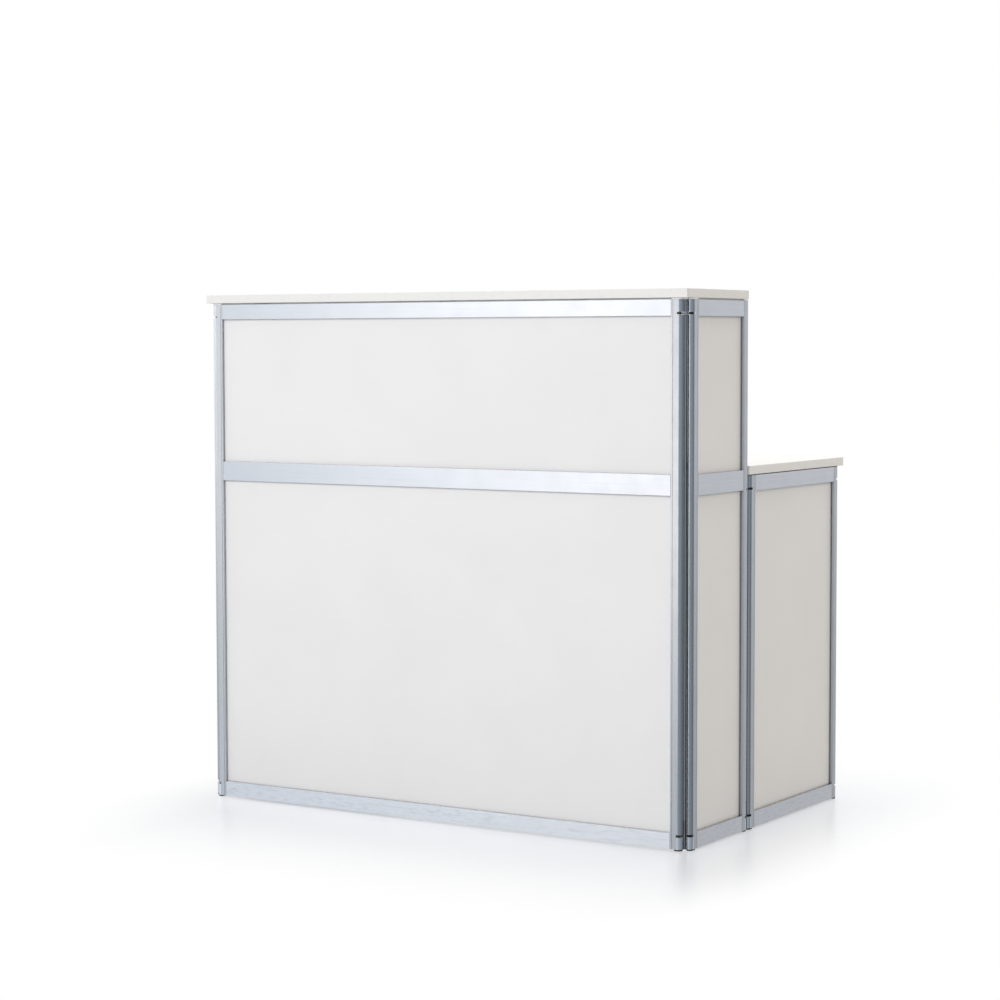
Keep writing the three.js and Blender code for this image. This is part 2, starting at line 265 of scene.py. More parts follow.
class Shaper:
    """Turns a CAD node's coarse mesh into a finished one: rounder arcs and broken edges."""

    ARC_LOW = math.radians(6)
    ARC_HIGH = math.radians(40)
    EDGE_TURN = math.radians(62)
    FLAT_TURN = math.radians(1)
    LONGEST_CHORD = 4 * MM
    ARC_CUTS = 2
    BEVEL_SEGMENTS = 2
    SEAM_REACH = 0.5 * MM
    WELD = 2e-6
    LEVEL_WITHIN = 1e-5
    TOUCHING = 1e-7
    UPRIGHT_WITHIN = 0.01
    CHORD_END = 0.01

    def __init__(self, edge_radius: float, seam: float | None = None) -> None:
        """Keeps the radius of the broken edges and the place of a strip's seam on Y."""
        self.edge_radius = edge_radius
        self.seam = seam

    def copy_of(self, node: str) -> Mesh:
        """Makes the finished mesh of one CAD node.

        Args:
            node: the CAD node's name.

        Returns:
            A new mesh in the same place.
        """
        mesh = frame["nodes"][node].data.copy()
        mesh.name = f"{node}_finished"
        mesh.materials.clear()
        body = bmesh.new()
        body.from_mesh(mesh)
        bmesh.ops.remove_doubles(body, verts=body.verts, dist=self.WELD)
        bmesh.ops.dissolve_limit(body, angle_limit=self.FLAT_TURN, verts=body.verts, edges=body.edges)
        self._round_arcs(body)
        self._break_edges(body)
        body.to_mesh(mesh)
        body.free()
        return mesh

    def _round_arcs(self, body: bmesh.types.BMesh) -> None:
        """Cuts each facet of an upright arc into narrower ones that lie on its circle."""
        chords = []
        edges = set()
        for face in body.faces:
            if abs(face.normal.z) > self.UPRIGHT_WITHIN or len(face.verts) != 4:
                continue
            upright = [e for e in face.edges if abs(e.verts[0].co.z - e.verts[1].co.z) > self.LEVEL_WITHIN]
            level = [e for e in face.edges if e not in upright]
            if len(upright) != 2 or len(level) != 2:
                continue
            turn = max((e.calc_face_angle_signed(0.0) for e in upright), key=abs)
            wide = max(e.calc_length() for e in level) > self.LONGEST_CHORD
            if wide or not self.ARC_LOW < abs(turn) < self.ARC_HIGH:
                continue
            for edge in level:
                chords.append(self._chord(edge, face.normal, turn))
                edges.add(edge)
        if not edges:
            return
        bmesh.ops.subdivide_edges(body, edges=list(edges), cuts=self.ARC_CUTS, use_grid_fill=True)
        for vertex in body.verts:
            for start, end, centre, radius in chords:
                if abs(vertex.co.z - start.z) > self.TOUCHING:
                    continue
                along = (vertex.co - start).dot(end - start) / (end - start).length_squared
                off = (start.lerp(end, along) - vertex.co).length
                if self.CHORD_END < along < 1 - self.CHORD_END and off <= self.TOUCHING:
                    out = vertex.co - centre
                    vertex.co = centre + out * (radius / out.length)
                    break

    @staticmethod
    def _chord(edge: bmesh.types.BMEdge, normal: Vector, turn: float) -> tuple[Vector, Vector, Vector, float]:
        """Works out the circle that a facet's level edge is a chord of.

        Args:
            edge: the level edge.
            normal: the facet's normal.
            turn: the angle between neighbouring facets, below 0 in a hollow.

        Returns:
            The chord's two ends, the circle's centre and its radius.
        """
        start, end = (v.co.copy() for v in edge.verts)
        radius = (end - start).length / (2 * math.sin(abs(turn) / 2))
        reach = radius * math.cos(turn / 2)
        inwards = -1 if turn > 0 else 1
        return start, end, (start + end) / 2 + normal * reach * inwards, radius

    def _break_edges(self, body: bmesh.types.BMesh) -> None:
        """Rounds each outer edge that turns sharply."""
        body.normal_update()
        sharp = [
            e for e in body.edges
            if e.is_manifold and e.calc_face_angle_signed(0.0) > self.EDGE_TURN and not self._in_seam(e)
        ]
        if sharp:
            bmesh.ops.bevel(
                body, geom=sharp, offset=self.edge_radius, segments=self.BEVEL_SEGMENTS, profile=0.5,
                affect="EDGES", clamp_overlap=True,
            )

    def _in_seam(self, edge: bmesh.types.BMEdge) -> bool:
        """Tells whether an edge lies on an end face of the strip, where its two ends meet."""
        return self.seam is not None and all(abs(v.co.y - self.seam) < self.SEAM_REACH for v in edge.verts)


class PieceTree(Wiring):
    """A geometry node tree that turns a base mesh into a finished one."""

    def __init__(self, name: str, base: str, others: dict[str, tuple[str, ...]]) -> None:
        """Makes the tree with its named inputs.

        Args:
            name: the tree's name.
            base: the name of the input for the base mesh.
            others: the names of the other inputs, by the kind of their sockets.
        """
        super().__init__(bpy.data.node_groups.new(name, "GeometryNodeTree"))
        face = self.tree.interface
        for kind, names in {"Geometry": (base,), **others, "Material": ("Material",)}.items():
            for each in names:
                face.new_socket(each, in_out="INPUT", socket_type=f"NodeSocket{kind}")
        face.new_socket("Piece", in_out="OUTPUT", socket_type="NodeSocketGeometry")
        self.given = self.add("NodeGroupInput").outputs

    def join(self, *parts: Socket) -> Socket:
        """Joins geometry."""
        node = self.add("GeometryNodeJoinGeometry")
        for part in parts:
            self.tree.links.new(part, node.inputs[0])
        return node.outputs[0]

    def cut(self, body: Socket, tool: Socket) -> Socket:
        """Cuts one mesh out of another."""
        return self.add("GeometryNodeMeshBoolean", {
            "Mesh 1": body, "Mesh 2": tool,
        }, operation="DIFFERENCE", solver="EXACT").outputs["Mesh"]

    def moved(self, geometry: Socket, offset: Socket, turn: Socket | tuple = (0.0, 0.0, 0.0)) -> Socket:
        """Turns geometry about the origin and then moves it."""
        return self.add("GeometryNodeTransform", {
            "Geometry": geometry, "Translation": offset, "Rotation": turn,
        }).outputs[0]

    def finish(self, geometry: Socket) -> None:
        """Makes the geometry real, gives it its material and puts it out."""
        real = self.add("GeometryNodeRealizeInstances", {0: geometry})
        dressed = self.add("GeometryNodeSetMaterial", {
            "Geometry": real.outputs[0], "Material": self.given["Material"],
        })
        self.add("NodeGroupOutput", {0: dressed.outputs[0]})

    def run(self, base: Mesh, values: dict[str, object]) -> Mesh:
        """Runs the tree on a mesh and keeps the result as a plain mesh.

        Args:
            base: the mesh that the tree's first input takes.
            values: its other inputs by name.

        Returns:
            The finished mesh.
        """
        holder = new_object("holder", base)
        modifier = holder.modifiers.new("Build", "NODES")
        modifier.node_group = self.tree
        sockets = {s.name: s.identifier for s in self.tree.interface.items_tree if s.in_out == "INPUT"}
        for name, value in values.items():
            modifier[sockets[name]] = value
        bpy.context.view_layer.update()
        made = worked_mesh(holder)
        bpy.data.objects.remove(holder)
        return made


class MilledExtrusion(PieceTree):
    """Raises a flat section to a length and mills level slots through its nose."""

    def __init__(self) -> None:
        """Builds the tree."""
        super().__init__("Milled extrusion", "Section", {
            "Float": ("Length", "Slot Height", "Slot Depth", "Slot End", "Lower Slot", "Upper Slot", "Turn"),
            "Vector": ("Place",),
        })
        given = self.given
        walls = self.add("GeometryNodeExtrudeMesh", {
            "Mesh": given["Section"], "Offset": self.xyz(0.0, 0.0, given["Length"]), "Offset Scale": 1.0,
            "Individual": False,
        })
        floor = self.add("GeometryNodeFlipFaces", {"Mesh": given["Section"]})
        shell = self.join(floor.outputs[0], walls.outputs["Mesh"])
        bar = self.add("GeometryNodeMergeByDistance", {0: shell, "Distance": 1e-6}).outputs[0]
        reach = self.math("MULTIPLY", given["Slot Depth"], 2.0)
        cutter = self.add("GeometryNodeMeshCube", {"Size": self.xyz(reach, reach, given["Slot Height"])})
        middle = self.math("SUBTRACT", given["Slot End"], given["Slot Depth"])
        cutters = [
            self.moved(cutter.outputs["Mesh"], self.xyz(middle, 0.0, given[level]))
            for level in ("Lower Slot", "Upper Slot")
        ]
        milled = self.cut(bar, self.join(*cutters))
        self.finish(self.moved(milled, given["Place"], self.xyz(0.0, 0.0, given["Turn"])))


class LockScrews(PieceTree):
    """Sets a socket screw and its collar on every point of a mesh, facing along a given axis."""

    SIZES = {
        "Collar Radius": 3.3 * MM, "Head Radius": 2.9 * MM, "Key Width": 1.5 * MM, "Proud": 0.2 * MM,
        "Turn Spread": math.pi, "Seed": 7,
    }
    HEAD_SIDES = 24
    KEY_SIDES = 6
    COLLAR_STEPS = 28
    BEAD_STEPS = 8

    def __init__(self) -> None:
        """Builds the tree."""
        super().__init__("Lock screws", "Places", {
            "Float": ("Collar Radius", "Head Radius", "Key Width", "Proud", "Turn Spread"),
            "Vector": ("Facing",),
            "Int": ("Seed",),
        })
        given = self.given
        depth = self.math("MULTIPLY", given["Proud"], 3.0)
        head, key = (
            self.add("GeometryNodeMeshCylinder", {
                "Vertices": sides, "Radius": given[radius], "Depth": depth,
            }).outputs[0]
            for sides, radius in ((self.HEAD_SIDES, "Head Radius"), (self.KEY_SIDES, "Key Width"))
        )
        socketed = self.cut(head, self.moved(key, self.xyz(0.0, 0.0, given["Proud"])))
        ring, bead = (
            self.add("GeometryNodeCurvePrimitiveCircle", {
                "Resolution": steps, "Radius": given[radius],
            }).outputs[0]
            for steps, radius in ((self.COLLAR_STEPS, "Collar Radius"), (self.BEAD_STEPS, "Proud"))
        )
        collar = self.add("GeometryNodeCurveToMesh", {"Curve": ring, "Profile Curve": bead})
        spots = self.add("GeometryNodeMeshToPoints", {0: given["Places"]})
        aim = self.add("FunctionNodeAlignRotationToVector", {"Vector": given["Facing"]}, axis="Z")
        chance = self.add("FunctionNodeRandomValue", {
            "Max": given["Turn Spread"], "Seed": given["Seed"],
        }, data_type="FLOAT")
        spun = self.add("FunctionNodeEulerToRotation", {0: self.xyz(0.0, 0.0, chance.outputs[1])})
        whole = self.add("FunctionNodeRotateRotation", {
            "Rotation": aim.outputs[0], "Rotate By": spun.outputs[0],
        }, rotation_space="LOCAL")
        placed = self.add("GeometryNodeInstanceOnPoints", {
            "Points": spots.outputs[0], "Instance": self.join(socketed, collar.outputs[0]),
            "Rotation": whole.outputs[0],
        })
        self.finish(placed.outputs[0])


# Finishes


class Grain(Enum):
    """The axis that an extrusion was drawn along."""

    X = 0
    Y = 1
    Z = 2


@dataclass(frozen=True)
class SatinAnodisedAluminium:
    """Extruded aluminium, etched and clear anodised: a soft cool sheen with faint draw lines along it."""

    grain: Grain
    colour: str = "C6CAD1"
    roughness: float = 0.24
    anisotropy: float = 0.75
    line_spacing: float = 0.9 * MM
    line_length: float = 260 * MM
    line_relief: float = 0.12
    smudge_size: float = 45 * MM
    scuff_width: float = 5 * MM
    scuff_length: float = 24 * MM
    scuff_tone: float = 0.13
    scuffed_to: float = 36 * MM
    scuff_fade: float = 2 * MM
    scuffs_above: float = 0.12
    # Where the stiles' noses get a painted highlight under their lower slots, and how strong it is.
    noses: tuple[Pair, ...] = ()
    nose_reach: float = 7.6 * MM
    end_height: float = 27 * MM
    end_fade: float = 1 * MM
    nose_highlight_tone: float = 0.6
    # A link's painted shade and shadow: black at its plates' ends in the noses, darker along its bar.
    plates: tuple[float, ...] = ()
    plate_reach: float = 2.7 * MM
    bar_shade_tone: float = 0.8
    gap_shadow_tone: float = 0.04
    bar_reach: float = 11.2 * MM
    shade_painted: tuple[Triple, ...] = ()
    slot_shadow_tone: float = 0.02
    low_shadow_widening: float = 1.6 * MM
    low_below: float = 60 * MM
    shadow_edge: float = 0.1 * MM

    def material(self) -> Material:
        """Builds the material."""
        ends = " with blackened ends" if self.shade_painted else ""
        wires = Surface(f"Satin anodised aluminium drawn along {self.grain.name}{ends}")
        # The real draw lines are 0.1 mm apart. They are spaced wider here so that they show.
        lines = wires.drawn_noise(wires.place, self.grain, self.line_spacing, self.line_length, 3.0, 0.6)
        smudges = wires.noise(wires.place, self.smudge_size, detail=4.0, roughness=0.55)
        tone = wires.math(
            "MULTIPLY", wires.remap(lines, NOISE, (0.95, 1.05)),
            wires.remap(smudges, (0.35, 0.7), (1.01, 0.985)),
        )
        tone = wires.math("MULTIPLY", tone, self._scuffed(wires))
        # The stiles' noses get a painted highlight under their lower slots.
        if self.noses:
            tone = self._with_painted_nose_highlights(wires, tone)
        metallic: float | Socket = 1.0
        # A link carries painted shade and shadow. Where they are darkest its metal is no longer metallic.
        if self.plates:
            unshaded_share = self._unshaded_share(wires)
            tone = wires.math("MULTIPLY", tone, unshaded_share)
            metallic = wires.math("GREATER_THAN", unshaded_share, 0.5)
        # Draw lines spread a reflection across the bar, so the tangent lies across the grain.
        if self.grain is Grain.Z:
            facing = wires.add("ShaderNodeNewGeometry").outputs["Normal"]
            across = wires.vector("CROSS_PRODUCT", facing, (0.0, 0.0, 1.0))
        else:
            across = wires.xyz(0.0, 0.0, 1.0)
        return wires.principled({
            "Base Color": wires.scaled(linear(self.colour)[:3], tone),
            "Metallic": metallic,
            "Roughness": wires.remap(smudges, NOISE, (self.roughness - 0.008, self.roughness + 0.012)),
            "Anisotropic": self.anisotropy,
            "Normal": wires.bump(lines, self.line_relief),
            "Tangent": across,
        })

    def _scuffed(self, wires: Surface) -> Socket:
        """Gives the tone that dark scuffs along the grain leave, with most of them near the floor."""
        scuffs = wires.drawn_noise(wires.place, self.grain, self.scuff_width, self.scuff_length, 5.0, 0.62)
        marks = wires.remap(scuffs, PEAKS, (0.0, self.scuff_tone))
        fade = (self.scuffed_to - self.scuff_fade, self.scuffed_to)
        low = wires.remap(wires.height(), fade, (1.0, self.scuffs_above))
        return wires.math("SUBTRACT", 1.0, wires.math("MULTIPLY", marks, low))

    def _with_painted_nose_highlights(self, wires: Surface, tone: Socket) -> Socket:
        """Paints a highlight on each stile's nose under its lower slot. The desk's two sides are alike."""
        fade = (self.end_height - self.end_fade, self.end_height)
        lowest = wires.remap(wires.height(), fade, (self.nose_highlight_tone, 0.0))
        there = wires.add("ShaderNodeSeparateXYZ", {"Vector": wires.place}).outputs
        mirrored = wires.xyz(wires.math("ABSOLUTE", there["X"]), there["Y"], 0.0)
        for x, y in self.noses:
            away = wires.measure("DISTANCE", mirrored, (x, y, 0.0))
            near = wires.math("LESS_THAN", away, self.nose_reach)
            tone = wires.math("MULTIPLY", tone, wires.math("MULTIPLY_ADD", near, lowest, 1.0))
        return tone

    def _unshaded_share(self, wires: Surface) -> Socket:
        """Gives how much of a link's metal is left unshaded by its painted shade and shadow. The last place
        in its list of shaded ends is the far nose.
        """
        level, height = wires.level(), wires.height()
        # Between its plates a link's bar is metal in painted shade, a little darker, up to the far nose, and
        # in black painted shadow from there on, for the dark gap between the noses.
        away = wires.measure("DISTANCE", level, (*self.shade_painted[-1][:2], 0.0))
        bar_edge = (self.bar_reach - self.shadow_edge, self.bar_reach)
        bar = wires.remap(away, bar_edge, (self.gap_shadow_tone, self.bar_shade_tone))
        edge = (self.plate_reach - 2 * self.shadow_edge, self.plate_reach)
        lower, upper = (
            wires.remap(wires.math("ABSOLUTE", wires.math("SUBTRACT", height, plate)), edge, (1.0, bar))
            for plate in self.plates
        )
        unshaded_share = wires.math("MAXIMUM", lower, upper)
        # A plate's end is black inside the stile's nose: painted shadow for the dark slot round it. The lower
        # plates' painted shadow reaches further.
        high = wires.math("GREATER_THAN", height, self.low_below)
        for x, y, reach in self.shade_painted:
            away = wires.measure("DISTANCE", level, (x, y, 0.0))
            apart = wires.math("MULTIPLY_ADD", high, self.low_shadow_widening, away)
            painted = reach + self.low_shadow_widening
            kept = wires.remap(apart, (painted - self.shadow_edge, painted), (self.slot_shadow_tone, 1.0))
            unshaded_share = wires.math("MULTIPLY", unshaded_share, kept)
        return unshaded_share


@dataclass(frozen=True)
class PressedLaminate:
    """Melamine laminate pressed on a thin board: matt white, a fine pearl, soil and painted shade at its
    foot.
    """

    name: str
    colour: str
    soil_and_shade_colour: str = "8E8472"
    soil_and_shade_from: float = -1.0
    soil_and_shade_height: float = 2.4 * MM
    soil_and_shade_share: float = 0.45
    roughness: float = 0.44
    pearl: float = 1.4 * MM
    pearl_relief: float = 0.1
    cloud: float = 160 * MM
    scuff: float = 9 * MM

    def material(self) -> Material:
        """Builds the material."""
        wires = Surface(self.name)
        # The pressed pearl is about 0.4 mm across. It is drawn coarser here so that it shows.
        pearl = wires.noise(wires.place, self.pearl, detail=2.0, roughness=0.5)
        cloud = wires.noise(wires.place, self.cloud, detail=3.0, roughness=0.5)
        scuff = wires.noise(wires.place, self.scuff, detail=5.0, roughness=0.65)
        tone = wires.math(
            "MULTIPLY", wires.remap(cloud, NOISE, (0.985, 1.012)),
            wires.remap(pearl, NOISE, (0.992, 1.008)),
        )
        # Soil and painted shade darken it in patches just above where it meets the rail.
        near_edge = wires.remap(
            wires.height(), (self.soil_and_shade_from, self.soil_and_shade_from + self.soil_and_shade_height), (1.0, 0.0),
            interpolation_type="SMOOTHSTEP",
        )
        patch = wires.remap(scuff, (0.35, 0.6), (0.1, self.soil_and_shade_share))
        colour = wires.mixed(
            wires.math("MULTIPLY", near_edge, patch), wires.scaled(linear(self.colour)[:3], tone),
            linear(self.soil_and_shade_colour),
        )
        return wires.principled({
            "Base Color": colour,
            "Roughness": wires.remap(scuff, NOISE, (self.roughness - 0.04, self.roughness + 0.05)),
            "Normal": wires.bump(pearl, self.pearl_relief),
            "IOR": 1.5,
        })


@dataclass(frozen=True)
class MouldedFinish:
    """A small moulded or coated part: even colour with a fine grit, rubbed lighter in patches."""

    name: str
    colour: str
    rubbed_colour: str
    roughness: float
    metallic: float = 0.0
    grit: float = 0.8 * MM
    grit_strength: float = 0.2
    rub_size: float = 14 * MM
    rub_share: float = 0.6
    seams: tuple[Pair, ...] = ()
    seam_reach: float = 2.4 * MM
    seam_share: float = 0.7
    seam_colour: str = "A39C86"

    def material(self) -> Material:
        """Builds the material."""
        wires = Surface(self.name)
        grit = wires.noise(wires.place, self.grit, detail=3.0, roughness=0.6)
        rub = wires.noise(wires.place, self.rub_size, detail=4.0, roughness=0.6)
        share = wires.remap(rub, PEAKS, (0.0, self.rub_share))
        colour = wires.mixed(share, linear(self.colour), linear(self.rubbed_colour))
        # Old glue darkens the corner where two lengths meet.
        for x, y in self.seams:
            away = wires.measure("DISTANCE", wires.level(), (x, y, 0.0))
            glued = wires.remap(away, (self.seam_reach * 0.4, self.seam_reach), (self.seam_share, 0.0))
            colour = wires.mixed(glued, colour, linear(self.seam_colour))
        return wires.principled({
            "Base Color": colour,
            "Metallic": self.metallic,
            "Roughness": wires.remap(grit, NOISE, (self.roughness - 0.05, self.roughness + 0.05)),
            "Normal": wires.bump(grit, self.grit_strength),
        })


class FinishShelf:
    """Every finish of the desk, built once."""

    def __init__(self) -> None:
        """Builds the materials."""
        # The front rails are a shade lighter and cooler than the stiles, though all are the same anodised
        # aluminium: painted light and shade.
        tones = {Grain.X: "C4CBD4", Grain.Y: "C6CAD1", Grain.Z: "C0C5CC"}
        hinges = ("corner_swing", "tall_swing", "middle_swing", "low_swing")
        noses = tuple(joint_place(f"right_{hinge}") for hinge in hinges)
        self.aluminium = {
            grain: SatinAnodisedAluminium(grain, tone, noses=noses if grain is Grain.Z else ()).material()
            for grain, tone in tones.items()
        }
        # Matt white, a touch grey, with soil and painted shade where the panel meets the rail under it.
        on_bottom_rail, on_mid_rail = 34.5 * MM, 740.5 * MM
        self.low_panel = PressedLaminate(
            "White panel laminate low", "EBEAE9", soil_and_shade_from=on_bottom_rail,
        ).material()
        self.high_panel = PressedLaminate(
            "White panel laminate high", "EBEAE9", soil_and_shade_from=on_mid_rail, soil_and_shade_share=0.25,
        ).material()
        # The worktops' laminate is a little brighter and harder wearing.
        self.worktop = PressedLaminate("White worktop laminate", "F0EFEC", roughness=0.38).material()
        # Extruded ABS edging: a slightly warmer white with a low gloss.
        low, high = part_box("counter_edging")
        self.edging = MouldedFinish(
            "White ABS edging", "EAE9E6", "E4E2DD", 0.42, grit_strength=0.08,
            seams=((low.x, low.y), (high.x, low.y)),
        ).material()
        # Black oxide over machined steel: near black with a dull metal sheen, browner where rubbed.
        self.oxide = MouldedFinish("Black oxide steel", "17171A", "3A3631", 0.38, metallic=0.8).material()
        # Moulded rubber: dull black, greyed by dust.
        self.rubber = MouldedFinish("Moulded black rubber", "161617", "3B3936", 0.78).material()
        # Grey foam strip: pale and dull, darkened in patches where it was handled.
        self.foam = MouldedFinish("Grey foam seal", "C4C4C2", "4A4740", 0.9, rub_size=70 * MM).material()
        # Moulded nylon: translucent looking off-white with a soft gloss.
        self.nylon = MouldedFinish(
            "Natural moulded nylon", "FCFCFB", "F4F3EF", 0.4, grit_strength=0.06,
        ).material()
        # Zinc plated screw steel: bright and cool.
        self.zinc = MouldedFinish("Zinc plated steel", "B9BDC2", "8F9297", 0.3, metallic=1.0).material()


# Sub-assemblies


def finish_piece(name: str, mesh: Mesh, material: Material, slot: str, body: str, *nodes: str) -> None:
    """Shades a finished mesh, gives it its finish and sets it on its body.

    Args:
        name: the new piece's name.
        mesh: its mesh, in place.
        material: its finish.
        slot: the record's material slot. It is not used.
        body: the body that it moves with.
        nodes: the CAD nodes that it stands for.
    """
    piece = new_object(name, mesh)
    piece.data.materials.clear()
    piece.data.materials.append(material)
    smooth(piece)
    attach(piece, body)
    if nodes:
        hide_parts(*nodes)
    LOG.info("%s: %d faces on %s", name, len(mesh.polygons), body)


@dataclass
class StileSection:
    """The stile's section: a round nose on the hinge axis at -X, the panel groove at +X."""

    half: float = 7.5 * MM
    nose: float = 7.3 * MM
    shoulder: float = 0.6 * MM
    flat: float = 16.5 * MM
    lip: float = 4.3 * MM
    groove: float = 8 * MM
    scribe_inset: float = 3.7 * MM
    scribe_width: float = 0.9 * MM
    scribe_depth: float = 0.6 * MM
    bore: float = 1.8 * MM
    chamber: Triple = (4.58 * MM, 7.52 * MM, 5.625 * MM)
    fillet: float = 0.35 * MM
    fillet_steps: int = 3
    arc_steps: int = 24

    def mesh(self) -> Mesh:
        """Draws the section as one flat region with its holes.

        Returns:
            A mesh of triangles at height 0, facing up.
        """
        body = bmesh.new()
        for ring in (self._outline(), self._bore(), self._chamber()):
            verts = [body.verts.new((x, y, 0.0)) for x, y in ring]
            for here, there in zip(verts, verts[1:] + verts[:1]):
                body.edges.new((here, there))
        bmesh.ops.triangle_fill(body, edges=body.edges[:], use_beauty=True, use_dissolve=False)
        for face in body.faces:
            if face.normal.z < 0:
                face.normal_flip()
        made = bpy.data.meshes.new("stile_section")
        body.to_mesh(made)
        body.free()
        return made

    def _outline(self) -> list[Pair]:
        """Lists the outer ring's points."""
        half, slot = self.half, self.half - self.lip
        scribe, wide = self.flat - self.scribe_inset, self.scribe_width / 2
        below = [
            (-self.shoulder, -half, self.fillet),
            (scribe - wide, -half, 0.0), (scribe, self.scribe_depth - half, 0.0), (scribe + wide, -half, 0.0),
            (self.flat, -half, self.fillet), (self.flat, -slot, self.fillet),
            (self.flat - self.groove, -slot, 0.0),
        ]
        corners = below + [(x, -y, r) for x, y, r in reversed(below)]
        ring = []
        start = math.acos(-self.shoulder / self.nose)
        for step in range(self.arc_steps + 1):
            angle = start + 2 * (math.pi - start) * step / self.arc_steps
            ring.append((self.nose * math.cos(angle), self.nose * math.sin(angle)))
        for index, (x, y, radius) in enumerate(corners):
            if radius == 0.0:
                ring.append((x, y))
                continue
            before = Vector(corners[index - 1][:2]) if index else Vector(ring[-1])
            after = Vector(corners[(index + 1) % len(corners)][:2])
            ring += self._rounded(before, Vector((x, y)), after, radius)
        return ring

    def _rounded(self, before: Vector, corner: Vector, after: Vector, radius: float) -> list[Pair]:
        """Rounds a square corner.

        Args:
            before: the point before the corner.
            corner: the corner.
            after: the point after it.
            radius: the rounding's radius.

        Returns:
            The points on the arc.
        """
        back, on = (before - corner).normalized() * radius, (after - corner).normalized() * radius
        centre = corner + back + on
        points = []
        for step in range(self.fillet_steps + 1):
            angle = QUARTER * step / self.fillet_steps
            points.append(centre - on * math.cos(angle) - back * math.sin(angle))
        return [(p.x, p.y) for p in points]

    def _bore(self) -> list[Pair]:
        """Lists the bore's points."""
        turn = 2 * math.pi / self.arc_steps
        angles = [-turn * step for step in range(self.arc_steps)]
        return [(self.bore * math.cos(angle), self.bore * math.sin(angle)) for angle in angles]

    def _chamber(self) -> list[Pair]:
        """Lists the chamber's corners."""
        low, high, half = self.chamber
        return [(low, -half), (low, half), (high, half), (high, -half)]


